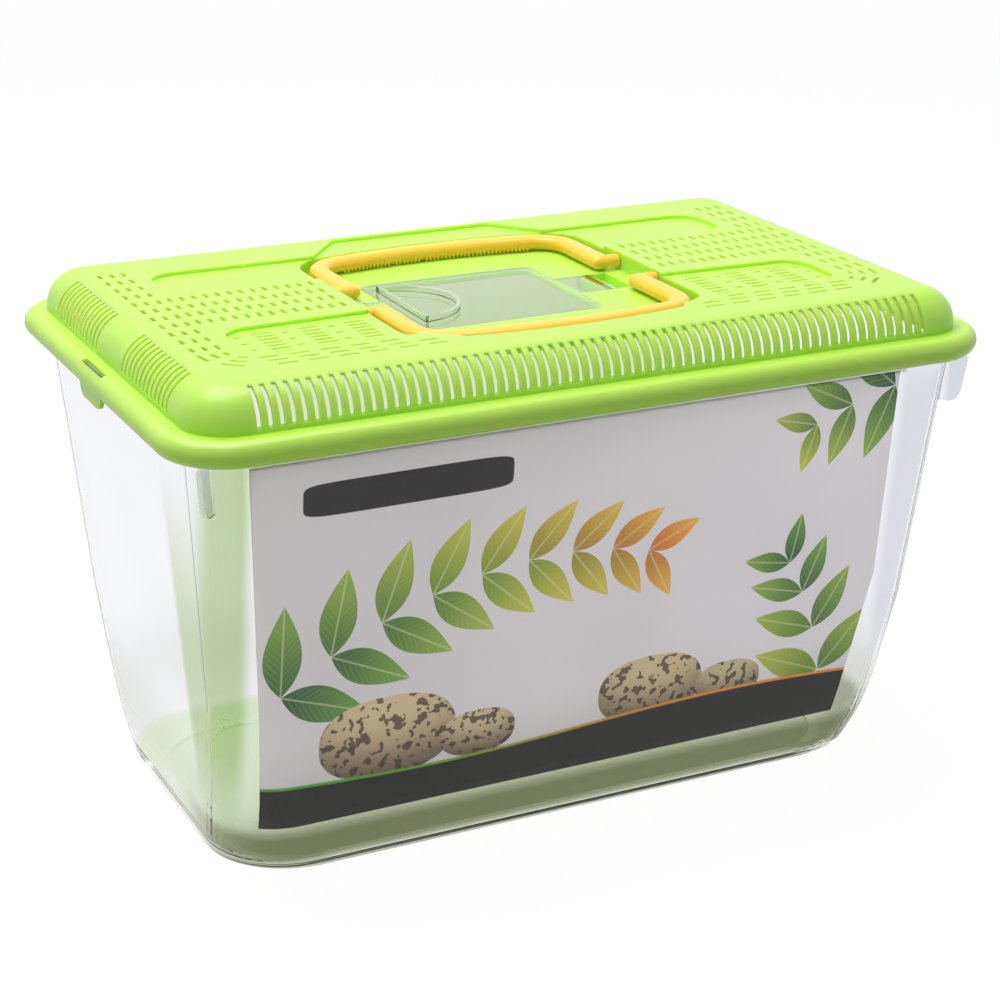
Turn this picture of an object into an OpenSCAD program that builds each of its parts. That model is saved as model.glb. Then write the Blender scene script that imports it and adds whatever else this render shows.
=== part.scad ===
// Plastic pet keeper for small animals: a clear tapered tub, a vented lid that drops over
// its rim, a clear feeding door, two carrying handles that fold flat and a printed card
// that stands behind the front wall. The origin is on the table, under the middle.
// +X runs along the length, the front is at -Y and +Z is up.

/* [Lid] */
// Length over the lid's skirt, the longest size of the keeper
lid_len = 360; // [330:1:400]
// Width over the lid's skirt
lid_wid = 230; // [222:1:250]
// Height of the lid's top above the table
lid_top = 218; // [190:1:250]
// Wall of the lid's moulding
lid_wall = 1.8; // [1.4:0.1:2.2]
// Width of the flat flange and skirt outside the dome
flange_w = 10; // [9:0.5:13]
// Height of the skirt, a half round seen from the end
skirt_h = 10.5; // [9:0.5:12]
// Radius of the dome's rounded side
dome_r = 15; // [12:0.5:17]
// Radius of the dome's corners at its foot
foot_corner_r = 19; // [18:0.5:24]
// Drop from the lid's top to the low level round the handles
low_drop = 1.6; // [1:0.1:2]

/* [Vents] */
// Gap of each vent slot in the dome's side
slot_w = 2; // [1.5:0.1:2.8]
// Distance from one vent slot to the next
slot_pitch = 4.55; // [4:0.05:6]
// Vent slots along the front, and as many along the back
slots_long = 65; // [31:2:65]
// Vent slots in each of the two groups in an end
slots_end = 13; // [5:1:13]
// Half of the plain stretch between the two groups in an end
end_plain = 17; // [15:0.5:22]
// Length of the small vents in the lid's top
vent_len = 6; // [4:0.5:7]
// Width of the small vents in the lid's top
vent_w = 1.8; // [1.2:0.1:2.2]
// Distance between the rows of small vents that cross the lid
vent_row = 11.84; // [11:0.01:13]
// Distance between the columns of small vents
vent_col = 5.15; // [4.5:0.05:5.6]

/* [Handle well] */
// Half the width of the well that the handles lie in
well_half_x = 68; // [64:0.5:72]
// Distance from the middle to the crest of the well's bowed edge
well_crest = 73.2; // [70:0.1:76]
// Depth of the well below the lid's top
well_depth = 7.6; // [7.4:0.1:8.4]

/* [Handles] */
// Distance from the middle to the line of a handle's arm
arm_x = 59.8; // [56:0.1:60]
// Width of a handle's bar
bar_w = 9.2; // [6:0.1:9.6]
// Thickness of a handle's bar
bar_t = 6.2; // [4:0.1:6.4]
// Distance of the two pivot lines from the middle
pivot_y = 17; // [16.5:0.5:20]
// Radius of the handle's corner, at the middle of the bar
bar_corner_r = 15; // [12:0.5:18]
// Radius of the gentle bow of the bar
bar_bow_r = 266; // [200:1:400]
// Radius of the pivot pins
pivot_r = 2; // [1.6:0.1:2]

/* [Feeding door] */
// Left end of the door's panel
door_left = -48; // [-50:0.5:-44]
// Right end of the door's panel
door_right = 34; // [30:0.5:36]
// Half the width of the door's panel
door_half_y = 36.6; // [30:0.1:38]
// Thickness of the door's panel
door_t = 2; // [1.6:0.1:2.4]
// Place of the door's hinge along the lid
hinge_x = 52; // [50:0.5:53]
// Radius of the door's hinge pins
hinge_r = 1.5; // [1.2:0.1:1.6]
// Height of the finger pull above the panel
pull_h = 2.5; // [2:0.5:4]

/* [Tub] */
// Wall of the tub
tub_wall = 2; // [1.6:0.1:2.4]
// Thickness of the tub's floor
floor_t = 2.2; // [1.8:0.1:3]
// Height of the foot ring that the tub stands on
foot_h = 1.6; // [1:0.1:2.5]
// Lean of the tub's ends from upright, in degrees
end_lean = 4.5; // [2:0.1:7]
// Lean of the tub's front and back from upright, in degrees
side_lean = 6.1; // [3:0.1:8]
// Height below which the walls curve in to the base
bend_h = 38.5; // [30:0.5:50]
// Radius of that curve in the front and the back
side_bend_r = 96; // [80:1:200]
// Radius of that curve in the ends
end_bend_r = 300; // [80:1:400]
// Radius of the tub's corners at the base
base_corner_r = 36; // [19:0.5:40]
// Height below which the corners widen towards the base
corner_h = 80; // [50:1:120]
// Reach of the tub's rim outside its wall
rim_reach = 5; // [4:0.1:5.5]
// Height of the two front corner fins below the lid
fin_h = 21; // [14:1:30]
// Thickness of the corner fins
fin_t = 2; // [1.5:0.1:3]

/* [Card] */
// Width of the card at its top
card_w = 286.5; // [240:0.5:290]
// Height of the card's top edge above the table
card_top = 187; // [150:1:188]
// Height of the card's bottom edge above the table
card_foot = 27; // [20:1:35]
// Thickness of the card
card_t = 0.6; // [0.4:0.1:1]
// Shift of the card from the middle, to the left
card_shift = 5.75; // [0:0.25:6]

/* [Fits] */
// Gap between the lid and the tub, and round the loose pieces
gap = 0.3; // [0.25:0.05:0.4]
// Running clearance of the pins in their sockets, on the radius
pin_gap = 0.06; // [0.04:0.01:0.1]

/* [Hidden] */
$fn = 96;
eps = 0.01;

// Centres of the plan's corners, which the lid's skirt, dome and lip and the tub's rim share
corner_x = lid_len / 2 - flange_w - foot_corner_r;
corner_y = lid_wid / 2 - flange_w - foot_corner_r;
dome_centre_r = foot_corner_r - dome_r;
dome_centre_z = lid_top - dome_r;
flange_z = dome_centre_z - 1.5;
flange_under = flange_z - lid_wall;
skirt_r = skirt_h / 2;
skirt_centre_r = foot_corner_r + flange_w - skirt_r;
skirt_centre_z = flange_z - skirt_r;
rim_z = flange_under - gap;
lip_out_r = foot_corner_r - tub_wall - 1;
lip_wall = 1.4;
lip_h = 4.7;

// Levels of the lid's middle
low_z = lid_top - low_drop;
well_z = lid_top - well_depth;
low_x = 133;
low_back = 67;
low_front = 63;
low_corner_r = 12;
tongue_back = 29.5;
tongue_front = 22;
saddle_root = 57;
saddle_edge = 38;

// Handle path: two arms, two corner arcs and one bowed bar that meet on common tangents
seam = 0.1;
join_angle = acos((arm_x - bar_corner_r) / (bar_bow_r - bar_corner_r));
bow_rise = bar_bow_r - (bar_bow_r - bar_corner_r) * sin(join_angle);
bar_side_gap = 1.6;
bar_crest = well_crest - bar_side_gap - bar_w / 2;
corner_start_y = bar_crest - bow_rise;
pivot_z = well_z + 0.4 + bar_t / 2;
grip_ribs = 49;
grip_pitch = 1.9;
grip_r = 0.5;

// Feeding door and its hinge
ledge_w = 1.5;
door_corner_r = 5;
door_seat_z = well_z - door_t - gap;
knuckle_r = 2.3;
hinge_z = well_z - knuckle_r;
plate_half = 12.5;
tab_half = 12;
tab_reach = 8;
frame_bottom = door_seat_z - 2.2;
pocket_bottom = hinge_z - knuckle_r - 0.8;
pocket_left = hinge_x - knuckle_r - 1.2;
pocket_right = hinge_x + 7.5;

// Tub outline, from the lid's foot down to the base
tub_x = lid_len / 2 - flange_w;
tub_y = lid_wid / 2 - flange_w;
floor_z = foot_h + floor_t;
foot_w = 4.5;
edge_r = 6.2;
inner_edge_r = 7;
arc_steps = 12;
outer_levels = [0, 0.7, 1.8, 3.6, edge_r, 11, 17, 24, 31, bend_h, 52, 66, corner_h, rim_z];
inner_levels = [floor_z, floor_z + 1, floor_z + 2.6, floor_z + 4.6, floor_z + inner_edge_r, 17, 24, 31,
    bend_h, 52, 66, corner_h, rim_z + 1];

function slant(z, lean, bend) = z >= bend_h ? lean : asin(sin(lean) + (bend_h - z) / bend);
function edge_in(z, from, r) = z >= from + r ? 0 : r - sqrt(r * r - pow(from + r - z, 2));
function wall_in(z, lean, bend) = z >= bend_h
    ? (rim_z - z) * tan(lean)
    : (rim_z - bend_h) * tan(lean) + bend * (cos(lean) - cos(slant(z, lean, bend)));
function plan_r(z) = foot_corner_r + (base_corner_r - foot_corner_r) * max(0, 1 - z / corner_h);
function outer_x(z) = tub_x - wall_in(z, end_lean, end_bend_r) - edge_in(z, 0, edge_r);
function outer_y(z) = tub_y - wall_in(z, side_lean, side_bend_r) - edge_in(z, 0, edge_r);
function inner_x(z) = tub_x - wall_in(z, end_lean, end_bend_r) - edge_in(z, floor_z, inner_edge_r)
    - tub_wall / cos(slant(z, end_lean, end_bend_r));
function inner_y(z) = tub_y - wall_in(z, side_lean, side_bend_r) - edge_in(z, floor_z, inner_edge_r)
    - tub_wall / cos(slant(z, side_lean, side_bend_r));
function ring(hx, hy, r, z) = [
    for (q = [0:3], i = [0:arc_steps])
        let (a = 90 * q + 90 * i / arc_steps)
        [(q == 0 || q == 3 ? 1 : -1) * (hx - r) + r * cos(a), (q < 2 ? 1 : -1) * (hy - r) + r * sin(a), z]
];

// A solid that joins level rings of points, from the lowest to the highest
module loft(rings) {
    n = len(rings[0]);
    last = len(rings) - 1;
    polyhedron(
        points = [for (r = rings) each r],
        faces = concat(
            [[for (i = [0:n - 1]) i]],
            [for (k = [0:last - 1], i = [0:n - 1]) [k * n + i, (k + 1) * n + i, k * n + (i + 1) % n]],
            [for (k = [0:last - 1], i = [0:n - 1])
                [k * n + (i + 1) % n, (k + 1) * n + i, (k + 1) * n + (i + 1) % n]],
            [[for (i = [n - 1:-1:0]) last * n + i]]
        )
    );
}

// Carries a flat profile, distance from the corner centre against height, round the plan
module round_the_plan() {
    for (side = [0:3]) {
        reach = side % 2 == 0 ? corner_x : corner_y;
        span = side % 2 == 0 ? corner_y : corner_x;
        rotate([0, 0, 90 * side]) translate([reach, span, 0]) {
            rotate([90, 0, 0]) linear_extrude(2 * span) children();
            rotate_extrude(angle = 90) children();
        }
    }
}

module block(x0, x1, y0, y1, z0, z1) {
    translate([x0, y0, z0]) cube([x1 - x0, y1 - y0, z1 - z0]);
}

module both_ends() {
    children();
    mirror([1, 0, 0]) children();
}

module both_sides() {
    children();
    mirror([0, 1, 0]) children();
}

module round_rect(hx, hy, r) {
    square([2 * hx, 2 * (hy - r)], center = true);
    square([2 * (hx - r), 2 * hy], center = true);
    for (x = [-1, 1], y = [-1, 1]) translate([x * (hx - r), y * (hy - r)]) circle(r);
}

// TUB

module tub_rim_profile() {
    translate([foot_corner_r - tub_wall / 2, rim_z - lid_wall]) square([tub_wall / 2 + rim_reach, lid_wall]);
    translate([foot_corner_r + rim_reach - 1.5, rim_z - 4.5]) square([1.5, 4.5]);
}

// Upright fin that stands out along the diagonal of a corner, its lower tip rounded
module corner_fin() {
    shoulder = foot_corner_r + 6;
    tip = foot_corner_r + 7.4;
    foot = foot_corner_r + 4.6;
    root = foot_corner_r - 6;
    skirt_foot_z = skirt_centre_z - skirt_r;
    fin_foot_z = skirt_foot_z - fin_h;
    tip_r = 5;
    translate([corner_x, corner_y, 0]) rotate([90, 0, 45]) translate([0, 0, -fin_t / 2])
    linear_extrude(fin_t) difference() {
        polygon([[root, rim_z - 1], [shoulder, rim_z - 1], [shoulder, skirt_foot_z - 0.5],
            [tip, skirt_foot_z - 2], [foot, fin_foot_z], [root, fin_foot_z]]);
        difference() {
            translate([foot - tip_r, fin_foot_z - 1]) square([tip_r + 1, tip_r + 1]);
            translate([foot - tip_r + 0.4, fin_foot_z + tip_r]) circle(tip_r);
        }
    }
}

// The tub's hollow, or that hollow drawn in all round by an inset
module hollow(inset = 0) {
    loft([for (z = inner_levels)
        ring(inner_x(z) - inset, inner_y(z) - inset, plan_r(z) - tub_wall - inset, z)]);
}

module tub() {
    color([0.87, 0.9, 0.88, 0.45]) difference() {
        union() {
            loft([for (z = outer_levels) ring(outer_x(z), outer_y(z), plan_r(z), z)]);
            round_the_plan() tub_rim_profile();
            both_ends() mirror([0, 1, 0]) corner_fin();
        }
        hollow();
        linear_extrude_at(-1, foot_h)
            round_rect(outer_x(0) - foot_w, outer_y(0) - foot_w, base_corner_r - foot_w);
    }
}

// PRINTED CARD

// Outline of the card seen from the front, cut in at the lower corners
module card_outline() {
    left = -card_shift - card_w / 2;
    right = card_w / 2 - card_shift;
    polygon([[left, card_top], [left + 7, card_foot], [right - 13, card_foot], [right, card_top / 2],
        [right, card_top]]);
}

// The card takes the shape of the front wall's inner face
module printed_card() {
    color("gainsboro") intersection() {
        difference() {
            hollow(gap);
            hollow(gap + card_t);
        }
        rotate([90, 0, 0]) linear_extrude(lid_wid / 2) card_outline();
    }
}

// LID

module ring_sector(r_out, r_in) {
    difference() {
        circle(r_out);
        circle(r_in);
    }
}

// Half section of the lid's edge: dome side, flange, half-round skirt and locating lip
module edge_profile() {
    translate([dome_centre_r, dome_centre_z]) intersection() {
        ring_sector(dome_r, dome_r - lid_wall);
        square(dome_r + 1);
    }
    translate([foot_corner_r - lid_wall, flange_under]) square([lid_wall, dome_centre_z - flange_under]);
    translate([lip_out_r - lip_wall, flange_under])
        square([skirt_centre_r - lip_out_r + lip_wall, lid_wall]);
    translate([lip_out_r - lip_wall, flange_under - lip_h]) square([lip_wall, lip_h + eps]);
    translate([skirt_centre_r, skirt_centre_z]) difference() {
        ring_sector(skirt_r, skirt_r - lid_wall);
        polygon([[0, 0], [0, skirt_r], [-skirt_r - 1, skirt_r], [-skirt_r - 1, -skirt_r - 1],
            [skirt_r * 0.6, -skirt_r - 1]]);
    }
}

// Outline of the well, its front and back edges bowed and its corners round
module well_outline(grow = 0) {
    half = well_half_x + grow;
    r = bar_corner_r + 4 + grow;
    bow = bar_bow_r + 10 + grow;
    crest = well_crest + grow;
    turn = acos((half - r) / (bow - r));
    start = crest - bow + (bow - r) * sin(turn);
    corner = [half - r, start];
    both_sides() {
        both_ends() {
            translate([0, -eps]) square([half, start + eps]);
            translate(corner) circle(r);
            polygon([[0, 0], corner, corner + r * [cos(turn), sin(turn)],
                [0, crest - bow + bow * sin(turn)]]);
        }
        intersection() {
            translate([0, crest - bow]) circle(bow, $fn = 720);
            translate([-(half - r) - r * cos(turn), start])
                square([2 * (half - r + r * cos(turn)), crest - start + 1]);
        }
    }
}

// One low panel beside the tongue, with round outer corners
module low_panel(inner, outer) {
    x = low_x - low_corner_r;
    polygon([[0, inner - 2], [x, inner + 3], [low_x, inner + 3 + low_corner_r],
        [low_x, outer - low_corner_r], [x, outer], [0, outer]]);
    translate([x, inner + 3 + low_corner_r]) circle(low_corner_r);
    translate([x, outer - low_corner_r]) circle(low_corner_r);
}

// All that lies at the low level: the panels and the two saddles that run out to the edge
module low_outline() {
    edge = corner_y + dome_centre_r;
    both_ends() {
        low_panel(tongue_back, low_back);
        mirror([0, 1]) low_panel(tongue_front, low_front);
        polygon([[0, 0], [saddle_root, low_back - 1], [saddle_edge, edge], [0, edge]]);
        mirror([0, 1]) polygon([[0, 0], [saddle_root, low_front - 1], [saddle_edge, edge], [0, edge]]);
    }
}

module vent(x, y, len, turn = 0) {
    translate([x, y]) rotate(turn) square([vent_w, len], center = true);
}

// Three tracks of vents that run down each end, round the front corner and along the front
module border_vents() {
    turn_x = low_x - 4.5;
    turn_y = low_front - 8.4;
    for (track = [0:2]) {
        r = 12.4 + track * vent_col;
        for (k = [0:10]) vent(turn_x + r, -4 * vent_row + k * vent_row, vent_len);
        for (a = [11, 49]) vent(turn_x + r * cos(a), -turn_y - r * sin(a), 4 + track * 2.6, -a);
        for (k = [0:5]) {
            x = turn_x - 1 - track * 2 - k * 12.4;
            if (x > saddle_root + 9 - track * 4) vent(x, -turn_y - r, vent_len + 2, 90);
        }
    }
}

module tongue_vents() {
    first = low_x + 3;
    for (row = [-1:2], k = [0:12]) vent(first - k * vent_col, 0.9 + row * vent_row, vent_len);
}

// Columns of long vents with short ones between them, in a front panel
module panel_vents() {
    for (k = [0:2]) {
        x = low_x - 15.6 - 19.6 * k;
        for (row = [0:6]) vent(x, -tongue_front - 9.5 - row * 4.4, vent_len + 2, 90);
        for (row = [0:2]) vent(x + 10.6, -tongue_front - 12 - row * 9, 3, 90);
    }
}

// Slots through the dome's round side, one row along an edge whose foot lies at y = foot
module dome_slots(places, foot) {
    for (x = places)
        block(x - slot_w / 2, x + slot_w / 2, foot - 11, foot + 1, dome_centre_z + 0.4, lid_top - 1);
}

module end_pull() {
    reach = lid_len / 2 - 1.6;
    wide = 27;
    deep = 7;
    r = 5;
    translate([reach - lid_wall, 0, skirt_centre_z]) rotate([90, 0, 90]) linear_extrude(lid_wall) {
        translate([-wide / 2, -deep - skirt_r + r + 3]) square([wide, deep + skirt_r - r - 3]);
        translate([-wide / 2 + r, -deep - skirt_r + 3]) square([wide - 2 * r, r + 1]);
        for (y = [-1, 1]) translate([y * (wide / 2 - r), -deep - skirt_r + r + 3]) circle(r);
    }
}

module lid_plates() {
    top_under = lid_top - lid_wall;
    linear_extrude_at(top_under, lid_top) difference() {
        round_rect(corner_x + dome_centre_r, corner_y + dome_centre_r, dome_centre_r);
        well_outline();
        low_outline();
        both_ends() {
            border_vents();
            tongue_vents();
        }
    }
    linear_extrude_at(low_z - lid_wall, low_z) difference() {
        low_floor();
        well_outline();
        both_ends() panel_vents();
    }
}

// The low level's floor reaches under the edge of the top level, which makes the step
module low_floor() {
    under = 1.4;
    edge = corner_y + dome_centre_r + 4;
    both_ends() {
        polygon([[0, 0], [saddle_root + under, low_back], [saddle_edge + under, edge], [0, edge]]);
        mirror([0, 1])
            polygon([[0, 0], [saddle_root + under, low_front], [saddle_edge + under, edge], [0, edge]]);
        offset_panel(tongue_back, low_back, under);
        mirror([0, 1]) offset_panel(tongue_front, low_front, under);
    }
}

module offset_panel(inner, outer, under) {
    x = low_x - low_corner_r;
    r = low_corner_r + under;
    polygon([[0, inner - 2 - under], [x, inner + 3 - under], [low_x + under, inner + 3 + low_corner_r],
        [low_x + under, outer - low_corner_r], [x, outer + under], [0, outer + under]]);
    translate([x, inner + 3 + low_corner_r]) circle(r);
    translate([x, outer - low_corner_r]) circle(r);
}

module linear_extrude_at(z0, z1) {
    translate([0, 0, z0]) linear_extrude(z1 - z0) children();
}

module feed_opening() {
    mid = (door_left + door_right) / 2;
    hx = (door_right - door_left) / 2 - ledge_w;
    translate([mid, 0]) round_rect(hx, door_half_y - ledge_w, door_corner_r);
}

module door_outline(grow) {
    mid = (door_left + door_right) / 2;
    hx = (door_right - door_left) / 2;
    translate([mid, 0]) round_rect(hx + grow, door_half_y + grow, door_corner_r + grow);
    translate([door_left - tab_reach - grow, -tab_half - grow])
        square([tab_reach + 10, 2 * (tab_half + grow)]);
}

module lid() {
    color([0.55, 0.85, 0.2]) difference() {
        union() {
            round_the_plan() edge_profile();
            lid_plates();
            linear_extrude_at(well_z - lid_wall, low_z - eps) difference() {
                well_outline(lid_wall);
                well_outline();
            }
            linear_extrude_at(low_z - lid_wall, lid_top - eps) difference() {
                intersection() {
                    well_outline(lid_wall);
                    translate([-lid_len / 2, -tongue_front]) square([lid_len, tongue_back + tongue_front]);
                }
                well_outline();
            }
            linear_extrude_at(well_z - lid_wall, well_z) well_outline(eps);
            linear_extrude_at(frame_bottom, well_z - eps) door_outline(gap + lid_wall);
            block(pocket_left - lid_wall, pocket_right + lid_wall, -plate_half - gap - lid_wall,
                plate_half + gap + lid_wall, pocket_bottom - lid_wall, well_z - eps);
            both_ends() end_pull();
        }
        linear_extrude_at(door_seat_z, well_z + 1) door_outline(gap);
        linear_extrude_at(frame_bottom - 1, well_z + 1) feed_opening();
        block(door_right - 1, hinge_x, -plate_half - gap, plate_half + gap, door_seat_z, well_z + 1);
        block(pocket_left, pocket_right, -plate_half - gap, plate_half + gap, pocket_bottom, well_z + 1);
        translate([hinge_x, 0, hinge_z]) rotate([90, 0, 0])
            cylinder(h = 2 * (plate_half + gap + lid_wall) + 1, r = hinge_r + pin_gap, center = true);
        both_ends() both_sides() {
            translate([well_half_x - 1, pivot_y, pivot_z]) rotate([0, 90, 0])
                cylinder(h = lid_wall + 3, r = pivot_r + pin_gap);
            block(well_half_x - 6, well_half_x - 0.5, pivot_y - 3, pivot_y + 3, well_z - lid_wall - 1,
                well_z + 1);
        }
        long_places = [for (k = [0:slots_long - 1]) (k - (slots_long - 1) / 2) * slot_pitch];
        end_places = [for (s = [-1, 1], k = [0:slots_end - 1]) s * (end_plain + k * slot_pitch)];
        both_sides() dome_slots(long_places, corner_y + foot_corner_r);
        for (s = [-90, 90]) rotate([0, 0, s]) dome_slots(end_places, corner_x + foot_corner_r);
        both_ends()
            block(tub_x + 5, tub_x + 7.4, -13, 13, flange_under - 2, flange_z + 1);
    }
}

// FEEDING DOOR

module finger_pull() {
    r = 26;
    straight = door_left + 4;
    difference() {
        intersection() {
            translate([straight - 1, 0]) circle(r);
            translate([straight, -r]) square([2 * r, 2 * r]);
        }
        intersection() {
            translate([straight - 1, 0]) circle(r - 1.6);
            translate([straight + 1.6, -r]) square([2 * r, 2 * r]);
        }
    }
}

module feeding_door() {
    panel_under = well_z - door_t;
    color([0.85, 0.9, 0.82, 0.5]) {
        linear_extrude_at(panel_under, well_z) door_outline(0);
        linear_extrude_at(well_z - eps, well_z + pull_h) finger_pull();
        block(door_right - 2, hinge_x, -plate_half, plate_half, panel_under, well_z);
        translate([hinge_x, 0, hinge_z]) rotate([90, 0, 0]) {
            cylinder(h = 2 * plate_half, r = knuckle_r, center = true);
            cylinder(h = 2 * (plate_half + gap + lid_wall - 0.2), r = hinge_r, center = true);
        }
    }
}

// HANDLES

module bar_section(slim = 0) {
    t = bar_t - slim;
    square([bar_w - bar_t, t], center = true);
    for (s = [-1, 1]) translate([s * (bar_w - bar_t) / 2, 0]) circle(t / 2);
}

// The handle that folds to +Y, lying flat in the well. Its arms and corners are a hair
// slimmer than the bowed bar, which they end inside.
module handle() {
    turn = 90 - join_angle;
    translate([0, 0, pivot_z]) {
        both_ends() {
            translate([arm_x, corner_start_y, 0]) rotate([90, 0, 0])
                linear_extrude(corner_start_y - pivot_y) bar_section(seam);
            translate([arm_x - bar_corner_r, corner_start_y, 0]) rotate_extrude(angle = join_angle + 1)
                translate([bar_corner_r, 0]) bar_section(seam);
            translate([arm_x - (bar_w - bar_t) / 2, pivot_y, 0]) {
                sphere(bar_t / 2);
                rotate([0, 90, 0])
                    cylinder(h = well_half_x - gap - arm_x + (bar_w - bar_t) / 2, r = bar_t / 2);
            }
            translate([arm_x, pivot_y, 0]) rotate([0, 90, 0])
                cylinder(h = well_half_x + lid_wall + 1 - arm_x, r = pivot_r);
        }
        translate([0, bar_crest - bar_bow_r, 0]) {
            rotate([0, 0, join_angle]) rotate_extrude(angle = 2 * turn, $fn = 720)
                translate([bar_bow_r, 0]) bar_section();
            for (k = [0:grip_ribs - 1])
                rotate([0, 0, (k - (grip_ribs - 1) / 2) * grip_pitch / bar_bow_r * 180 / PI])
                    translate([0, bar_bow_r - bar_w / 2 + grip_r, 0.2 - bar_t / 2])
                        cylinder(h = bar_t / 2, r = grip_r, $fn = 16);
        }
    }
}

module rear_handle() {
    color("orange") handle();
}

module front_handle() {
    color("orange") mirror([0, 1, 0]) handle();
}

tub();
printed_card();
lid();
feeding_door();
rear_handle();
front_handle();
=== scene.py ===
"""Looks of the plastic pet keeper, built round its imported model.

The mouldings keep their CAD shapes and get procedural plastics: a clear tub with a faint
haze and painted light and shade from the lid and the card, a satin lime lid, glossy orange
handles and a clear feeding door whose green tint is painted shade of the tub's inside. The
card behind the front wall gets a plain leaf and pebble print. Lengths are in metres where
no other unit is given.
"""

import logging
import math
from dataclasses import dataclass, field
from enum import Enum

import bpy
from mathutils import Matrix, Vector

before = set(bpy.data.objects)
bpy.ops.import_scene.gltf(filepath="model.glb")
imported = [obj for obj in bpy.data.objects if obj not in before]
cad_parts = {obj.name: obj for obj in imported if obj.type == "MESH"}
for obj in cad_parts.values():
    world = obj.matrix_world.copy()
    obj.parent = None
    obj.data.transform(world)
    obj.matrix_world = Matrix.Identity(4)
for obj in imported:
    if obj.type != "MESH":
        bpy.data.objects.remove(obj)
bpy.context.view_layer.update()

MM = 0.001
log = logging.getLogger("pet_keeper")


def srgb(red: float, green: float, blue: float) -> tuple[float, float, float, float]:
    """Turns a colour as it looks on a screen into the linear values that shaders use.

    Args:
        red: Red from 0 to 255.
        green: Green from 0 to 255.
        blue: Blue from 0 to 255.

    Returns:
        Linear red, green, blue and full alpha.
    """
    linear = []
    for channel in (red, green, blue):
        share = channel / 255
        linear.append(share / 12.92 if share <= 0.04045 else ((share + 0.055) / 1.055) ** 2.4)
    return (*linear, 1.0)


class Haze(Enum):
    """Share of the light that a clear plastic scatters instead of letting it through."""

    FAINT = 0.015
    SLIGHT = 0.02


class Sheen(Enum):
    """Mean roughness of a moulded face."""

    GLOSS = 0.16
    SATIN = 0.36


@dataclass
class Graph:
    """A node tree with short calls for the nodes that the finishes use.

    Attributes:
        tree: The node tree that the calls add to.
    """

    tree: bpy.types.NodeTree

    def add(self, kind: str, **settings: object) -> bpy.types.Node:
        """Adds a node.

        Args:
            kind: Blender's name for the node type, without "ShaderNode".
            settings: Properties to set on the node.

        Returns:
            The new node.
        """
        name = kind if "Node" in kind else "ShaderNode" + kind
        node = self.tree.nodes.new(name)
        for key, value in settings.items():
            setattr(node, key, value)
        return node

    def feed(self, socket: bpy.types.NodeSocket, value: object) -> None:
        """Links an output to a socket, or sets the socket's own value.

        Args:
            socket: The input socket.
            value: An output socket, a number or a sequence of numbers.
        """
        if isinstance(value, bpy.types.NodeSocket):
            self.tree.links.new(value, socket)
        else:
            socket.default_value = value

    def math(self, operation: str, *values: object, clamp: bool = False) -> bpy.types.NodeSocket:
        """Adds a Math node.

        Args:
            operation: The Math node's operation.
            values: Its inputs, outputs of other nodes or numbers.
            clamp: Whether the result is held between 0 and 1.

        Returns:
            The node's output.
        """
        node = self.add("Math", operation=operation, use_clamp=clamp)
        for socket, value in zip(node.inputs, values):
            self.feed(socket, value)
        return node.outputs[0]

    def blend(self, share: object, first: object, second: object) -> bpy.types.NodeSocket:
        """Mixes two colours.

        Args:
            share: How much of the second colour shows, an output or a number.
            first: The first colour.
            second: The second colour.

        Returns:
            The mixed colour.
        """
        node = self.add("Mix", data_type="RGBA")
        self.feed(node.inputs[0], share)
        self.feed(node.inputs[6], first)
        self.feed(node.inputs[7], second)
        return node.outputs[2]

    def span(
        self, value: object, low: float, high: float, start: float, end: float
    ) -> bpy.types.NodeSocket:
        """Maps a value from one range to another with a smooth step.

        Args:
            value: The value to map.
            low: Value that maps to start.
            high: Value that maps to end.
            start: Result at low.
            end: Result at high.

        Returns:
            The mapped value.
        """
        node = self.add("MapRange", interpolation_type="SMOOTHSTEP")
        for index, number in enumerate((value, low, high, start, end)):
            self.feed(node.inputs[index], number)
        return node.outputs[0]

    def noise(self, place: object, scale: float, detail: float = 2.0) -> bpy.types.NodeSocket:
        """Adds a noise texture.

        Args:
            place: Where it is read.
            scale: Features per metre, about.
            detail: Number of finer layers.

        Returns:
            Noise from 0 to 1.
        """
        node = self.add("TexNoise")
        self.feed(node.inputs["Vector"], place)
        node.inputs["Scale"].default_value = scale
        node.inputs["Detail"].default_value = detail
        return node.outputs["Fac"]

    def group(self, group: bpy.types.NodeTree, **values: object) -> bpy.types.Node:
        """Places a node group.

        Args:
            group: The group's tree.
            values: Its inputs by name, with spaces written as underscores.

        Returns:
            The group node.
        """
        node = self.add("Group")
        node.node_tree = group
        for key, value in values.items():
            self.feed(node.inputs[key.replace("_", " ")], value)
        return node


@dataclass(frozen=True)
class Socket:
    """One named socket of a node group.

    Attributes:
        name: The socket's name.
        kind: Float, Vector or Color.
        value: Default value of an input.
    """

    name: str
    kind: str = "Float"
    value: object = None


def new_group(name: str, inputs: list[Socket], outputs: list[Socket]) -> tuple[Graph, dict, dict]:
    """Makes an empty shader node group with named sockets.

    Args:
        name: The group's name.
        inputs: Its inputs.
        outputs: Its outputs.

    Returns:
        The group's graph, its inputs as outputs to read from, and its outputs to feed.
    """
    tree = bpy.data.node_groups.new(name, "ShaderNodeTree")
    for side, sockets in (("INPUT", inputs), ("OUTPUT", outputs)):
        for socket in sockets:
            made = tree.interface.new_socket(
                name=socket.name, in_out=side, socket_type="NodeSocket" + socket.kind
            )
            if socket.value is not None:
                made.default_value = socket.value
    graph = Graph(tree)
    given = graph.add("NodeGroupInput")
    result = graph.add("NodeGroupOutput")
    return (
        graph,
        {s.name: given.outputs[s.name] for s in inputs},
        {s.name: result.inputs[s.name] for s in outputs},
    )


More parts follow.
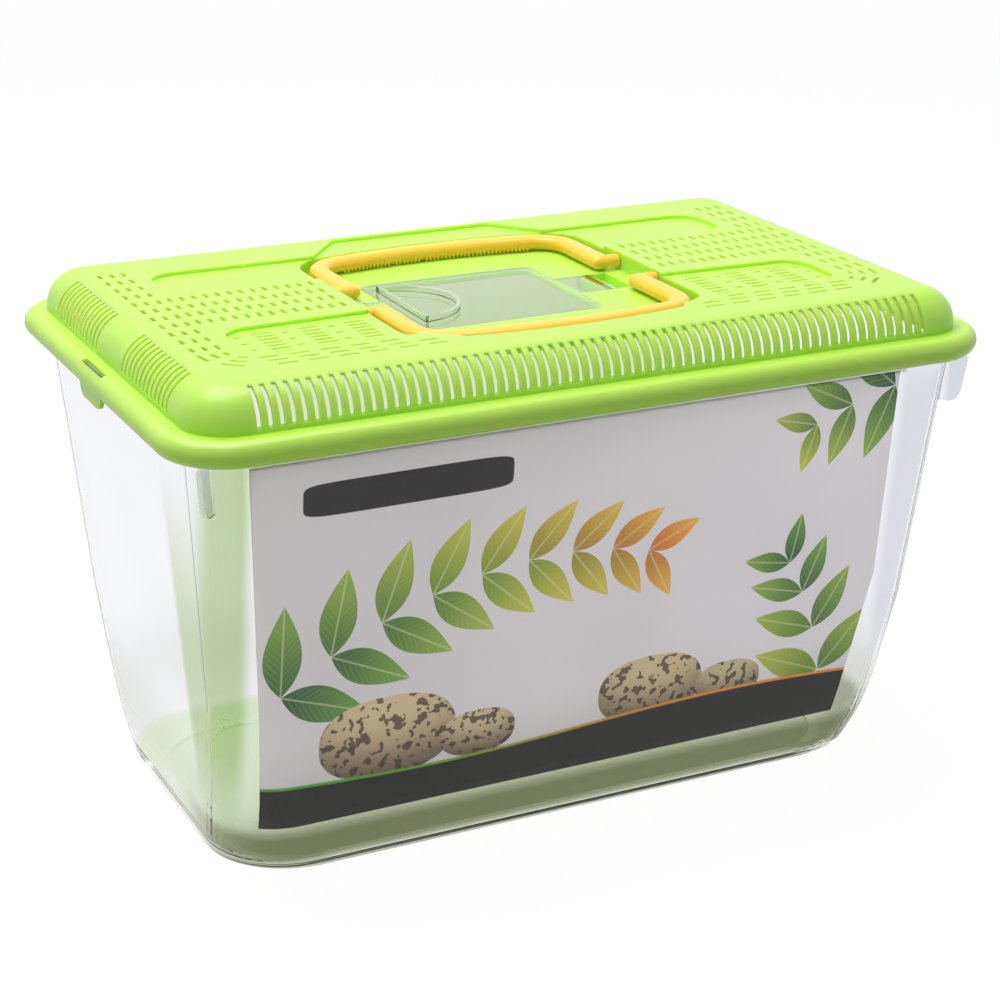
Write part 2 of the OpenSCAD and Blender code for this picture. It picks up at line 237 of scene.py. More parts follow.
class Effects:
    """Shader node groups that the finishes share, each built once."""

    def __init__(self) -> None:
        """Builds every group."""
        self.grain = self.build_grain()
        self.handling = self.build_handling()
        self.leaf = self.build_leaf()
        self.pebble = self.build_pebble()

    def build_grain(self) -> bpy.types.NodeTree:
        """Fine texture of a moulded face with slow waves under it.

        Returns:
            The group: Place, Fine Scale, Wave Scale and Wave Share in, Height out.
        """
        graph, given, result = new_group(
            "moulded_grain",
            [
                Socket("Place", "Vector"),
                Socket("Fine Scale", "Float", 900.0),
                Socket("Wave Scale", "Float", 30.0),
                Socket("Wave Share", "Float", 0.5),
            ],
            [Socket("Height")],
        )
        fine = graph.add("TexNoise")
        wave = graph.add("TexNoise")
        for node, scale, detail in ((fine, "Fine Scale", 3.0), (wave, "Wave Scale", 1.0)):
            graph.feed(node.inputs["Vector"], given["Place"])
            graph.feed(node.inputs["Scale"], given[scale])
            node.inputs["Detail"].default_value = detail
        slow = graph.math("MULTIPLY", wave.outputs["Fac"], given["Wave Share"])
        quick_share = graph.math("SUBTRACT", 1.0, given["Wave Share"])
        quick = graph.math("MULTIPLY", fine.outputs["Fac"], quick_share)
        graph.feed(result["Height"], graph.math("ADD", slow, quick))
        return graph.tree

    def build_handling(self) -> bpy.types.NodeTree:
        """Faint smears and hairline scratches of a piece that has been handled.

        Returns:
            The group: Place and Amount in, Smear and Scratch out.
        """
        graph, given, result = new_group(
            "handling",
            [Socket("Place", "Vector"), Socket("Amount", "Float", 0.5)],
            [Socket("Smear"), Socket("Scratch")],
        )
        broad = graph.noise(given["Place"], 22.0, 4.0)
        smear = graph.span(broad, 0.48, 0.72, 0.0, 1.0)
        graph.feed(result["Smear"], graph.math("MULTIPLY", smear, given["Amount"]))
        stretch = graph.add("Mapping")
        graph.feed(stretch.inputs["Vector"], given["Place"])
        stretch.inputs["Rotation"].default_value = (0.4, 0.3, 0.7)
        stretch.inputs["Scale"].default_value = (18.0, 420.0, 300.0)
        hair = graph.noise(stretch.outputs["Vector"], 1.0, 1.0)
        line = graph.span(hair, 0.7, 0.76, 0.0, 1.0)
        graph.feed(result["Scratch"], graph.math("MULTIPLY", line, given["Amount"]))
        return graph.tree

    def build_leaf(self) -> bpy.types.NodeTree:
        """A pointed leaf shape with a midrib and side veins.

        Returns:
            The group: X, Z, Centre X, Centre Z, Angle, Length and Width in,
            Mask, Rib and Along out.
        """
        names = ("X", "Z", "Centre X", "Centre Z", "Angle", "Length", "Width")
        graph, given, result = new_group(
            "printed_leaf",
            [Socket(name, "Float", 1.0) for name in names],
            [Socket("Mask"), Socket("Rib"), Socket("Along")],
        )
        across = graph.math("SUBTRACT", given["X"], given["Centre X"])
        up = graph.math("SUBTRACT", given["Z"], given["Centre Z"])
        cosine = graph.math("COSINE", given["Angle"])
        sine = graph.math("SINE", given["Angle"])
        along = graph.math(
            "ADD", graph.math("MULTIPLY", across, cosine), graph.math("MULTIPLY", up, sine)
        )
        aside = graph.math(
            "SUBTRACT", graph.math("MULTIPLY", up, cosine), graph.math("MULTIPLY", across, sine)
        )
        share = graph.math("DIVIDE", along, given["Length"])
        bulge = graph.math("SUBTRACT", 1.0, graph.math("MULTIPLY", share, share), clamp=True)
        lean = graph.math("SUBTRACT", 1.0, graph.math("MULTIPLY", share, 0.35))
        edge = graph.math("MULTIPLY", graph.math("MULTIPLY", bulge, lean), given["Width"])
        distance = graph.math("ABSOLUTE", aside)
        inside = graph.math("SUBTRACT", edge, distance)
        graph.feed(result["Mask"], graph.span(inside, 0.0, 0.25, 0.0, 1.0))
        rib = graph.span(distance, 0.25, 0.55, 1.0, 0.0)
        comb = graph.math("SUBTRACT", along, graph.math("MULTIPLY", distance, 1.1))
        wave = graph.math("SINE", graph.math("MULTIPLY", comb, 2.1))
        veins = graph.span(wave, 0.86, 0.98, 0.0, 0.5)
        graph.feed(result["Rib"], graph.math("MAXIMUM", rib, veins))
        graph.feed(result["Along"], graph.span(share, -1.0, 1.0, 0.0, 1.0))
        return graph.tree

    def build_pebble(self) -> bpy.types.NodeTree:
        """A round pebble, darker towards its lower edge, or with a high power a tab.

        Returns:
            The group: X, Z, Centre X, Centre Z, Wide, High and Power in, Mask and Shade out.
        """
        names = ("X", "Z", "Centre X", "Centre Z", "Wide", "High", "Power")
        graph, given, result = new_group(
            "printed_pebble",
            [Socket(name, "Float", 1.0) for name in names],
            [Socket("Mask"), Socket("Shade")],
        )
        across = graph.math(
            "DIVIDE", graph.math("SUBTRACT", given["X"], given["Centre X"]), given["Wide"]
        )
        up = graph.math(
            "DIVIDE", graph.math("SUBTRACT", given["Z"], given["Centre Z"]), given["High"]
        )
        square = graph.math(
            "ADD", graph.math("POWER", graph.math("ABSOLUTE", across), given["Power"]),
            graph.math("POWER", graph.math("ABSOLUTE", up), given["Power"]),
        )
        graph.feed(result["Mask"], graph.span(square, 0.94, 1.0, 1.0, 0.0))
        low = graph.math("SUBTRACT", graph.math("MULTIPLY", square, 0.5), up)
        graph.feed(result["Shade"], graph.span(low, -0.8, 1.3, 0.0, 1.0))
        return graph.tree


def new_material(name: str) -> tuple[bpy.types.Material, Graph, bpy.types.Node, bpy.types.Node]:
    """Makes a material with one Principled shader.

    Args:
        name: The material's name.

    Returns:
        The material, its graph, its Principled node and its output node.
    """
    material = bpy.data.materials.new(name)
    material.use_nodes = True
    nodes = material.node_tree.nodes
    return material, Graph(material.node_tree), nodes["Principled BSDF"], nodes["Material Output"]


@dataclass(frozen=True)
class OpaquePlastic:
    """A coloured moulded plastic.

    Attributes:
        name: The material's name.
        colour: Colour as it looks on a screen, 0 to 255.
        deep: Colour of the thicker, darker patches.
        sheen: How glossy it is.
        glow: Share of light that spreads inside the plastic.
        spread: How far red, green and blue light spread, in millimetres.
        handled: How much it has been handled.
    """

    name: str
    colour: tuple[float, float, float]
    deep: tuple[float, float, float]
    sheen: Sheen
    glow: float = 0.1
    spread: tuple[float, float, float] = (5.0, 6.0, 2.0)
    handled: float = 0.3

    def build(self, effects: Effects) -> bpy.types.Material:
        """Builds the material.

        Args:
            effects: The shared node groups.

        Returns:
            The material.
        """
        material, graph, shader, _ = new_material(self.name)
        place = graph.add("TexCoord").outputs["Object"]
        patches = graph.span(graph.noise(place, 14.0, 2.0), 0.35, 0.7, 0.0, 0.5)
        wear = graph.group(effects.handling, Place=place, Amount=self.handled)
        colour = graph.blend(patches, srgb(*self.colour), srgb(*self.deep))
        graph.feed(shader.inputs["Base Color"], colour)
        smears = graph.math("MULTIPLY", wear.outputs["Smear"], 0.12)
        scratches = graph.math("MULTIPLY", wear.outputs["Scratch"], 0.1)
        rough = graph.math("ADD", graph.math("ADD", self.sheen.value, smears), scratches)
        graph.feed(shader.inputs["Roughness"], rough)
        grain = graph.group(
            effects.grain, Place=place, Fine_Scale=1400.0, Wave_Scale=38.0, Wave_Share=0.7
        )
        bump = graph.add("Bump")
        bump.inputs["Strength"].default_value = 0.12
        bump.inputs["Distance"].default_value = 0.4 * MM
        graph.feed(bump.inputs["Height"], grain.outputs["Height"])
        graph.feed(shader.inputs["Normal"], bump.outputs["Normal"])
        shader.inputs["IOR"].default_value = 1.49
        shader.inputs["Subsurface Weight"].default_value = self.glow
        shader.inputs["Subsurface Radius"].default_value = self.spread
        shader.inputs["Subsurface Scale"].default_value = MM
        return material


@dataclass(frozen=True)
class Zone:
    """A box with soft sides in which a clear plastic takes another tint, such as painted light or
    shade, in millimetres.

    Attributes:
        low: Corner with the lowest values.
        high: Corner with the highest values.
        soft: Width of the soft sides along each axis.
        tint: Colour as it looks on a screen, 0 to 255.
        share: How much of the tint shows inside.
    """

    low: tuple[float, float, float]
    high: tuple[float, float, float]
    soft: tuple[float, float, float]
    tint: tuple[float, float, float]
    share: float = 1.0

    def mask(self, graph: Graph, place: bpy.types.Node) -> bpy.types.NodeSocket:
        """Masks the zone.

        Args:
            graph: The material's graph.
            place: A Separate XYZ node with the place in metres.

        Returns:
            The share inside the zone and 0 outside it.
        """
        total: object = self.share
        for axis in range(3):
            value = graph.math("DIVIDE", place.outputs[axis], MM)
            low, high, soft = self.low[axis], self.high[axis], self.soft[axis]
            total = graph.math("MULTIPLY", total, graph.span(value, low, low + soft, 0.0, 1.0))
            total = graph.math("MULTIPLY", total, graph.span(value, high - soft, high, 1.0, 0.0))
        return total


@dataclass(frozen=True)
class ClearPlastic:
    """A clear moulded plastic that lets lamps through to what is behind it.

    Attributes:
        name: The material's name.
        tint: Colour as it looks on a screen, 0 to 255.
        haze: How milky it is.
        roughness: Mean roughness.
        handled: How much it has been handled.
        bend: Index of refraction, lower than the plastic's own where thin walls look softer.
        zones: Parts that take another tint, such as painted green light from the lid or painted
            shade below the card.
    """

    name: str
    tint: tuple[float, float, float]
    haze: Haze
    roughness: float = 0.05
    handled: float = 0.4
    bend: float = 1.49
    zones: tuple[Zone, ...] = ()

    def tint_and_painted_light(self, graph: Graph, place: bpy.types.NodeSocket) -> bpy.types.NodeSocket:
        """Tints the plastic with a faint random tone and paints each zone's tint over it, painted
        light and shade on the tub.

        Args:
            graph: The material's graph.
            place: Where the tint is read.

        Returns:
            The tint.
        """
        tone = graph.blend(
            graph.span(graph.noise(place, 9.0, 2.0), 0.3, 0.7, 0.0, 0.4),
            srgb(*self.tint), srgb(*(channel * 0.96 for channel in self.tint)),
        )
        split = graph.add("SeparateXYZ")
        graph.feed(split.inputs[0], place)
        for zone in self.zones:
            # Each zone paints its tint over the plastic; on the tub these are painted light and
            # shade from the lid and the card
            tone = graph.blend(zone.mask(graph, split), tone, srgb(*zone.tint))
        return tone

    def build(self, effects: Effects) -> bpy.types.Material:
        """Builds the material.

        Args:
            effects: The shared node groups.

        Returns:
            The material.
        """
        material, graph, shader, output = new_material(self.name)
        place = graph.add("TexCoord").outputs["Object"]
        wear = graph.group(effects.handling, Place=place, Amount=self.handled)
        graph.feed(shader.inputs["Base Color"], self.tint_and_painted_light(graph, place))
        smears = graph.math("MULTIPLY", wear.outputs["Smear"], 0.06)
        graph.feed(shader.inputs["Roughness"], graph.math("ADD", self.roughness, smears))
        grain = graph.group(
            effects.grain, Place=place, Fine_Scale=700.0, Wave_Scale=16.0, Wave_Share=0.93
        )
        bump = graph.add("Bump")
        bump.inputs["Strength"].default_value = 0.1
        bump.inputs["Distance"].default_value = 0.6 * MM
        graph.feed(bump.inputs["Height"], grain.outputs["Height"])
        graph.feed(shader.inputs["Normal"], bump.outputs["Normal"])
        shader.inputs["IOR"].default_value = self.bend
        shader.inputs["Transmission Weight"].default_value = 1 - self.haze.value
        clear = graph.add("BsdfTransparent")
        mix = graph.add("MixShader")
        lamp_ray = graph.add("LightPath").outputs["Is Shadow Ray"]
        graph.feed(mix.inputs[0], lamp_ray)
        graph.feed(mix.inputs[1], shader.outputs[0])
        graph.feed(mix.inputs[2], clear.outputs[0])
        graph.feed(output.inputs["Surface"], mix.outputs[0])
        return material


@dataclass(frozen=True)
class Leaf:
    """One printed leaf, in millimetres on the card.

    Attributes:
        x: Place of its middle along the card.
        z: Height of its middle.
        angle: Direction of its tip in degrees from the card's right.
        length: Half its length.
        tone: 0 for a deep green, 1 for a yellow green, 2 for a warm orange.
    """

    x: float
    z: float
    angle: float
    length: float
    tone: float

    def colours(self) -> tuple[tuple, tuple]:
        """Picks the leaf's colours by its tone.

        Returns:
            The colour at its foot and the colour at its tip.
        """
        ramp = (
            ((40, 92, 48), (104, 158, 62)),
            ((128, 160, 40), (206, 204, 74)),
            ((214, 116, 30), (246, 176, 62)),
        )
        low = min(int(self.tone), 1)
        share = self.tone - low
        return tuple(
            srgb(*(a + (b - a) * share for a, b in zip(ramp[low][end], ramp[low + 1][end])))
            for end in (0, 1)
        )


@dataclass(frozen=True)
class Stem:
    """An arching stem with leaves in pairs.

    Attributes:
        x: Place of its foot along the card.
        z: Height of its foot.
        heading: Its direction at the foot in degrees from the card's right.
        bend: Change of direction from one pair to the next, in degrees.
        pairs: Number of pairs.
        length: Half the length of the first leaves.
        tones: Tone of the first and of the last leaves.
        shrink: Share by which the last leaves are shorter than the first.
        splay: Angle between the stem and its first leaves, in degrees.
        close: How much nearer to the stem the last leaves point, in degrees.
        step: Distance from pair to pair, in lengths of half a leaf.
        contrast: How far each leaf's tone lies from its pair's.
    """

    x: float
    z: float
    heading: float
    bend: float
    pairs: int
    length: float
    tones: tuple[float, float]
    shrink: float = 0.35
    splay: float = 54
    close: float = 10
    step: float = 1.25
    contrast: float = 0.12

    def leaves(self) -> list[Leaf]:
        """Places the leaves along the stem, smaller towards its tip.

        Returns:
            The leaves.
        """
        made = []
        x, z, angle = self.x, self.z, self.heading
        for pair in range(self.pairs):
            share = pair / max(1, self.pairs - 1)
            reach = self.length * (1 - self.shrink * share)
            tone = self.tones[0] + (self.tones[1] - self.tones[0]) * share
            for side in (-1, 1):
                turn = math.radians(angle + side * (self.splay - self.close * share))
                made.append(Leaf(
                    x + reach * math.cos(turn), z + reach * math.sin(turn), math.degrees(turn),
                    reach, max(0.0, min(2.0, tone + side * self.contrast)),
                ))
            x += reach * self.step * math.cos(math.radians(angle))
            z += reach * self.step * math.sin(math.radians(angle))
            angle += self.bend
        return made


@dataclass(frozen=True)
class PrintedCard:
    """The card's print: leaves on arching stems, pebbles, a blank tab and a dark band.

    Attributes:
        name: The material's name.
        band_top: Height of the dark band's upper edge at the middle, in millimetres.
        ground: Light ground colour at the print's left.
        ground_right: Light ground colour at its right.
        band: Dark colour of the band and the tab.
        back: Colour of the card's plain back.
        vein: Colour of the leaves' veins.
        pebbles: Each pebble's middle along the card and half width, in millimetres, and its tone.
    """

    name: str = "card_print"
    band_top: float = 46.0
    ground: tuple[float, float, float] = (222, 217, 213)
    ground_right: tuple[float, float, float] = (236, 231, 229)
    band: tuple[float, float, float] = (30, 27, 24)
    back: tuple[float, float, float] = (226, 224, 216)
    vein: tuple[float, float, float] = (222, 226, 168)
    pebbles: tuple[tuple[float, float, float], ...] = (
        (-90, 30, 0.1), (-50, 17, 0.5), (30, 25, 0.2), (68, 16, 0.8),
    )

    def stems(self) -> tuple[Stem, ...]:
        """Lists the print's stems.

        Returns:
            A garland across the card, a sprig in its upper corner and a spray on the band.
        """
        return (
            Stem(-136, 88, 34, -6.6, 9, 20, (0.1, 1.9)),
            Stem(136, 181, 196, 7, 3, 17, (0.2, 0.8)),
            Stem(114, 50, 104, 7, 4, 18, (0.7, 0.1)),
        )

    def paint_leaves(
        self, graph: Graph, effects: Effects, spot: dict, colour: bpy.types.NodeSocket
    ) -> bpy.types.NodeSocket:
        """Paints the leaves of every stem.

        Args:
            graph: The material's graph.
            effects: The shared node groups.
            spot: The place on the card, X along it and Z up, in millimetres.
            colour: The print so far.

        Returns:
            The print with the leaves.
        """
        for leaf in (leaf for stem in self.stems() for leaf in stem.leaves()):
            node = graph.group(
                effects.leaf, **spot, Centre_X=leaf.x, Centre_Z=leaf.z,
                Angle=math.radians(leaf.angle), Length=leaf.length, Width=leaf.length * 0.4,
            )
            deep, pale = leaf.colours()
            green = graph.blend(node.outputs["Along"], deep, pale)
            ribs = graph.math("MULTIPLY", node.outputs["Rib"], 0.45)
            green = graph.blend(ribs, green, srgb(*self.vein))
            colour = graph.blend(node.outputs["Mask"], colour, green)
        return colour

    def paint_pebbles(
        self, graph: Graph, effects: Effects, spot: dict, colour: bpy.types.NodeSocket,
        place: bpy.types.NodeSocket,
    ) -> bpy.types.NodeSocket:
        """Paints the speckled pebbles that lie on the band.

        Args:
            graph: The material's graph.
            effects: The shared node groups.
            spot: The place on the card, X along it and Z up, in millimetres.
            colour: The print so far.
            place: The place in metres, for the speckles.

        Returns:
            The print with the pebbles.
        """
        speckle = graph.span(graph.noise(place, 300.0, 1.0), 0.56, 0.6, 0.0, 0.85)
        for centre, wide, tone in self.pebbles:
            node = graph.group(
                effects.pebble, **spot, Centre_X=float(centre),
                Centre_Z=self.band_top + wide * 0.5, Wide=float(wide), High=wide * 0.62, Power=2.4,
            )
            lit = srgb(224 - 20 * tone, 202 - 10 * tone, 150)
            stone = graph.blend(node.outputs["Shade"], lit, srgb(122, 104, 78))
            stone = graph.blend(speckle, stone, srgb(60, 48, 38))
            colour = graph.blend(node.outputs["Mask"], colour, stone)
        return colour

    def paint_band(
        self, graph: Graph, spot: dict, colour: bpy.types.NodeSocket
    ) -> bpy.types.NodeSocket:
        """Paints the dark band at the foot with a thin bright line along its wavy upper edge.

        Args:
            graph: The material's graph.
            spot: The place on the card, X along it and Z up, in millimetres.
            colour: The print so far.

        Returns:
            The print with the band.
        """
        wave = graph.math("SINE", graph.math("MULTIPLY", spot["X"], 0.022))
        sway = graph.math("MULTIPLY", wave, 3.0)
        over = graph.math("SUBTRACT", graph.math("SUBTRACT", spot["Z"], sway), self.band_top)
        warm = graph.span(spot["X"], -110, 90, 0.0, 1.0)
        accent = graph.blend(warm, srgb(96, 170, 60), srgb(240, 150, 40))
        colour = graph.blend(graph.span(over, 1.2, 1.5, 1.0, 0.0), colour, accent)
        return graph.blend(graph.span(over, -0.1, 0.2, 1.0, 0.0), colour, srgb(*self.band))

    def paint(self, graph: Graph, effects: Effects) -> bpy.types.NodeSocket:
        """Paints the print.

        Args:
            graph: The material's graph.
            effects: The shared node groups.

        Returns:
            The print's colour.
        """
        place = graph.add("TexCoord").outputs["Object"]
        split = graph.add("SeparateXYZ")
        graph.feed(split.inputs[0], place)
        spot = {axis: graph.math("DIVIDE", split.outputs[axis], MM) for axis in ("X", "Z")}
        colour = graph.blend(
            graph.span(spot["X"], -150, 140, 0.0, 1.0), srgb(*self.ground),
            srgb(*self.ground_right),
        )
        colour = self.paint_leaves(graph, effects, spot, colour)
        colour = self.paint_pebbles(graph, effects, spot, colour, place)
        tab = graph.group(
            effects.pebble, **spot, Centre_X=-84.0, Centre_Z=170.0, Wide=44.0, High=7.0, Power=7.0
        )
        colour = graph.blend(tab.outputs["Mask"], colour, srgb(*self.band))
        return self.paint_band(graph, spot, colour)

    def build(self, effects: Effects) -> bpy.types.Material:
        """Builds the card's material, printed on its front and plain on its back.

        Args:
            effects: The shared node groups.

        Returns:
            The material.
        """
        material, graph, shader, _ = new_material(self.name)
        painted = self.paint(graph, effects)
        normal = graph.add("SeparateXYZ")
        graph.feed(normal.inputs[0], graph.add("TexCoord").outputs["Normal"])
        rear = graph.span(normal.outputs["Y"], 0.1, 0.2, 0.0, 1.0)
        graph.feed(shader.inputs["Base Color"], graph.blend(rear, painted, srgb(*self.back)))
        place = graph.add("TexCoord").outputs["Object"]
        grain = graph.group(
            effects.grain, Place=place, Fine_Scale=2200.0, Wave_Scale=60.0, Wave_Share=0.3
        )
        bump = graph.add("Bump")
        bump.inputs["Strength"].default_value = 0.08
        bump.inputs["Distance"].default_value = 0.2 * MM
        graph.feed(bump.inputs["Height"], grain.outputs["Height"])
        graph.feed(shader.inputs["Normal"], bump.outputs["Normal"])
        rough = graph.span(graph.noise(place, 40.0, 2.0), 0.3, 0.7, 0.42, 0.52)
        graph.feed(shader.inputs["Roughness"], rough)
        shader.inputs["Specular IOR Level"].default_value = 0.2
        return material


# Painted light and shade on the tub, each a tint that stands in for light the lid and the card
# send or block:
# painted green light from the lid in the strip left of the card, on the rear wall and on the
# floor; painted shade on the lower walls; painted shadow and reflection of the card and its dark
# band in the base below the card;
# painted shadow of the lid's skirt on the wall above the card; painted shade on the wall to its
# right and on the two fins
TUB_PAINTED_LIGHT = (
    Zone((-168, -130, 20), (-147, -50, 200), (6, 1, 8), (202, 216, 178)),
    Zone((-105, 50, 30), (180, 130, 215), (50, 8, 60), (206, 226, 172), 0.8),
    Zone((-180, -130, -5), (180, 130, 70), (1, 1, 50), (228, 231, 226)),
    Zone((-160, -100, -5), (150, 90, 9), (12, 12, 3), (222, 234, 204)),
    Zone((-166, -160, -5), (164, -14, 28), (12, 40, 8), (168, 174, 146)),
    Zone((-150, -130, 186), (140, -60, 192), (1, 1, 1.5), (196, 200, 190)),
    Zone((138, -130, 40), (176, -60, 195), (4, 4, 20), (236, 237, 241)),
    Zone((-190, -130, 160), (-162, -98, 191), (1, 1, 1), (214, 218, 224)),
    Zone((162, -130, 160), (190, -98, 191), (1, 1, 1), (214, 218, 224)),
)
# The door's finger pull keeps a plain clear tint, free of the painted green shade on its panel
DOOR_ZONES = (Zone((-60, -40, 210.5), (0, 40, 220), (1, 1, 0.3), (246, 250, 242)),)


def smooth_by_angle(limit: float) -> bpy.types.NodeTree:
    """Builds a geometry node group that shades soft edges smooth and keeps sharp ones.

    Args:
        limit: Angle between two faces, in degrees, up to which their edge is shaded smooth.

    Returns:
        The group, for a Nodes modifier.
    """
    tree = bpy.data.node_groups.new("smooth_by_angle", "GeometryNodeTree")
    for side in ("INPUT", "OUTPUT"):
        tree.interface.new_socket(name="Geometry", in_out=side, socket_type="NodeSocketGeometry")
    graph = Graph(tree)
    given, result = graph.add("NodeGroupInput"), graph.add("NodeGroupOutput")
    angle = graph.add("GeometryNodeInputMeshEdgeAngle")
    soft = graph.add("FunctionNodeCompare", data_type="FLOAT", operation="LESS_EQUAL")
    graph.feed(soft.inputs["A"], angle.outputs["Unsigned Angle"])
    soft.inputs["B"].default_value = math.radians(limit)
    edges = graph.add("GeometryNodeSetShadeSmooth", domain="EDGE")
    graph.feed(edges.inputs["Geometry"], given.outputs[0])
    graph.feed(edges.inputs["Shade Smooth"], soft.outputs[0])
    faces = graph.add("GeometryNodeSetShadeSmooth", domain="FACE")
    graph.feed(faces.inputs["Geometry"], edges.outputs[0])
    graph.feed(result.inputs[0], faces.outputs[0])
    return tree


@dataclass
class Moulding:
    """A CAD piece that keeps its shape and gets a finish.

    Attributes:
        nodes: Names of the CAD nodes.
        finish: The finish for them.
        smooth: Angle in degrees up to which edges are shaded smooth, or 0.
    """

    nodes: tuple[str, ...]
    finish: OpaquePlastic | ClearPlastic | PrintedCard
    smooth: float = 0.0

    def dress(self, effects: Effects) -> None:
        """Gives every node the finish.

        Args:
            effects: The shared node groups.
        """
        material = self.finish.build(effects)
        for name in self.nodes:
            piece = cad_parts[name]
            piece.data.materials.clear()
            piece.data.materials.append(material)
            if self.smooth:
                piece.modifiers.new("smooth", "NODES").node_group = smooth_by_angle(self.smooth)
        log.info("%s dressed in %s", ", ".join(self.nodes), self.finish.name)


@dataclass
class Keeper:
    """All the pieces of the pet keeper with their finishes."""

    tub: Moulding = field(default_factory=lambda: Moulding(
        ("tub",), ClearPlastic(
            "milky_clear_plastic", (250, 250, 253), Haze.FAINT, 0.05, bend=1.18,
            zones=TUB_PAINTED_LIGHT), 32.0))
    # The door's green-grey tint is painted shade: it stands in for the dim, green-lit inside of
    # the tub seen through the door
    door: Moulding = field(default_factory=lambda: Moulding(
        ("feeding_door",), ClearPlastic(
            "clear_door_plastic", (197, 213, 170), Haze.SLIGHT, 0.03, zones=DOOR_ZONES)))
    lid: Moulding = field(default_factory=lambda: Moulding(
        ("lid",), OpaquePlastic("lime_plastic", (182, 232, 84), (174, 226, 76), Sheen.SATIN, 1.0)))
    handles: Moulding = field(default_factory=lambda: Moulding(
        ("rear_handle", "front_handle"), OpaquePlastic(
            "orange_plastic", (255, 205, 56), (255, 196, 48), Sheen.GLOSS, 0.5, (4.0, 2.4, 0.6))))
    card: Moulding = field(default_factory=lambda: Moulding(("printed_card",), PrintedCard()))

    def build(self, effects: Effects) -> None:
        """Dresses every piece.

        Args:
            effects: The shared node groups.
        """
        for piece in (self.tub, self.door, self.lid, self.handles, self.card):
            piece.dress(effects)


@dataclass(frozen=True)
class Lamp:
    """A soft square lamp.

    Attributes:
        name: The lamp's name.
        place: Where it hangs.
        size: Length of its side.
        power: Power in watts.
    """

    name: str
    place: tuple[float, float, float]
    size: float
    power: float

    def hang(self, target: Vector) -> None:
        """Hangs the lamp in the scene.

        Args:
            target: Point that it faces.
        """
        data = bpy.data.lights.new(self.name, "AREA")
        data.size = self.size
        data.energy = self.power
        holder = bpy.data.objects.new(self.name, data)
        bpy.context.scene.collection.objects.link(holder)
        holder.location = self.place
        away = Vector(self.place) - target
        holder.rotation_euler = away.to_track_quat("Z", "Y").to_euler()


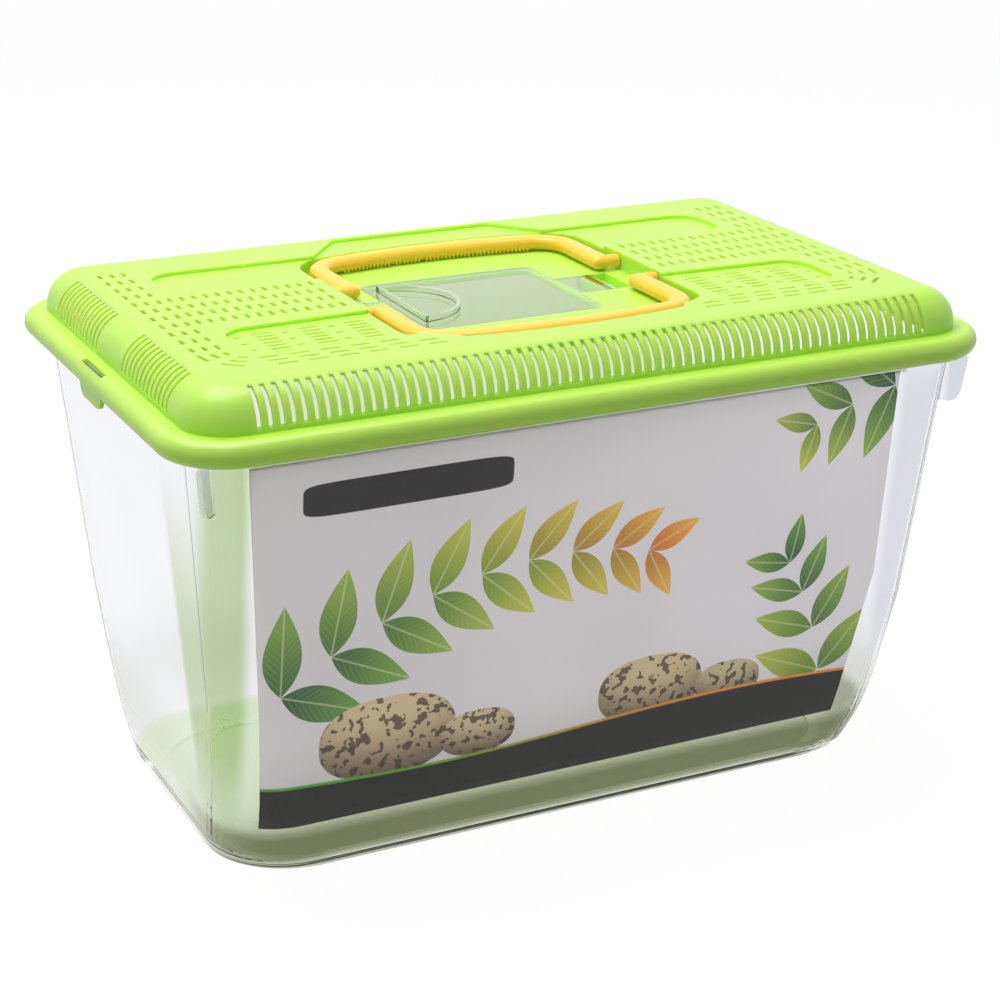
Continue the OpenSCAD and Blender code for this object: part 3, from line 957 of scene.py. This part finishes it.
@dataclass
class Studio:
    """Floor, soft lamps, pale surroundings and the camera.

    Attributes:
        target: Point that the camera looks at.
        distance: Distance from the camera to that point.
        turn: The camera's turn round the object in degrees, from the front.
        rise: The camera's rise above the level in degrees.
        roll: The camera's roll in degrees.
        focal: Focal length in shares of the picture's width.
        sensor: Width of the camera's sensor in millimetres.
        floor_reach: Distance from the middle to the floor's edges.
        floor_grey: How pale the lit part of the floor is, from 0 to 1.
        floor_glow: Strength of the white that evens the floor out.
        floor_share: Share of that white where the floor is seen.
        fill: Strength of the surroundings as a lamp.
        lamps: The lamps.
    """

    target: Vector = field(default_factory=lambda: Vector((4.9, 5.1, 115.1)) * MM)
    distance: float = 1.0414
    turn: float = -25.98
    rise: float = 20.32
    roll: float = 0.21
    focal: float = 2.3626
    sensor: float = 36.0
    floor_reach: float = 4.0
    floor_grey: float = 0.5
    floor_glow: float = 1.1
    floor_share: float = 0.87
    fill: float = 0.3
    lamps: tuple[Lamp, ...] = (
        Lamp("overhead_lamp", (-0.2, 0.25, 1.5), 1.2, 25),
        Lamp("left_lamp", (-1.5, -0.6, 0.9), 1.0, 1.5),
        Lamp("right_lamp", (1.3, -1.0, 0.8), 0.9, 0.7),
    )

    def camera(self) -> None:
        """Places the camera at the photograph's viewing angle."""
        turn, rise, roll = (math.radians(a) for a in (self.turn, self.rise, self.roll))
        level = math.cos(rise)
        back = Vector((math.sin(turn) * level, -math.cos(turn) * level, math.sin(rise)))
        right = Vector((0, 0, 1)).cross(back).normalized()
        up = back.cross(right)
        rolled_right = right * math.cos(roll) + up * math.sin(roll)
        rolled_up = up * math.cos(roll) - right * math.sin(roll)
        data = bpy.data.cameras.new("camera")
        data.sensor_width = self.sensor
        data.lens = self.focal * self.sensor
        data.clip_end = 20
        holder = bpy.data.objects.new("camera", data)
        bpy.context.scene.collection.objects.link(holder)
        axes = Matrix((rolled_right, rolled_up, back)).transposed().to_4x4()
        holder.matrix_world = Matrix.Translation(self.target + back * self.distance) @ axes
        bpy.context.scene.camera = holder

    def floor(self) -> None:
        """Lays a wide pale floor that keeps the object's soft shadow."""
        reach = self.floor_reach
        mesh = bpy.data.meshes.new("floor")
        corners = [(-reach, -reach, 0), (reach, -reach, 0), (reach, reach, 0), (-reach, reach, 0)]
        mesh.from_pydata(corners, [], [(0, 1, 2, 3)])
        ground = bpy.data.objects.new("floor", mesh)
        bpy.context.scene.collection.objects.link(ground)
        material, graph, shader, output = new_material("pale_floor")
        shader.inputs["Base Color"].default_value = (*[self.floor_grey] * 3, 1)
        shader.inputs["Roughness"].default_value = 0.9
        shader.inputs["Specular IOR Level"].default_value = 0.1
        white = graph.add("Emission")
        white.inputs["Strength"].default_value = self.floor_glow
        mix = graph.add("MixShader")
        graph.feed(mix.inputs[0], graph.math("MULTIPLY", self.seen(graph), self.floor_share))
        graph.feed(mix.inputs[1], shader.outputs[0])
        graph.feed(mix.inputs[2], white.outputs[0])
        graph.feed(output.inputs["Surface"], mix.outputs[0])
        mesh.materials.append(material)

    def seen(self, graph: Graph) -> bpy.types.NodeSocket:
        """Masks the rays that show the surroundings: straight, mirrored or through clear plastic.

        Args:
            graph: The graph to add to.

        Returns:
            1 for such a ray and 0 for others.
        """
        rays = graph.add("LightPath").outputs
        mirrored = graph.math("MAXIMUM", rays["Is Camera Ray"], rays["Is Glossy Ray"])
        return graph.math("MAXIMUM", mirrored, rays["Is Transmission Ray"])

    def surroundings(self) -> None:
        """Sets a plain grey world that looks white behind the object."""
        world = bpy.data.worlds.new("surroundings")
        bpy.context.scene.world = world
        world.use_nodes = True
        graph = Graph(world.node_tree)
        dim = world.node_tree.nodes["Background"]
        dim.inputs["Color"].default_value = (1, 1, 1, 1)
        dim.inputs["Strength"].default_value = self.fill
        white = graph.add("Background")
        white.inputs["Color"].default_value = (1, 1, 1, 1)
        mix = graph.add("MixShader")
        graph.feed(mix.inputs[0], self.seen(graph))
        graph.feed(mix.inputs[1], dim.outputs[0])
        graph.feed(mix.inputs[2], white.outputs[0])
        graph.feed(world.node_tree.nodes["World Output"].inputs["Surface"], mix.outputs[0])

    def build(self) -> None:
        """Sets up the floor, the lamps, the surroundings and the camera."""
        self.floor()
        self.surroundings()
        for lamp in self.lamps:
            lamp.hang(self.target)
        self.camera()
        bpy.context.scene.view_settings.view_transform = "Standard"
        log.info("studio ready")


def main() -> None:
    """Builds the finishes, dresses the pieces and sets up the studio."""
    logging.basicConfig(level=logging.INFO, format="%(name)s: %(message)s")
    effects = Effects()
    Keeper().build(effects)
    Studio().build()


if __name__ == "__main__":
    main()
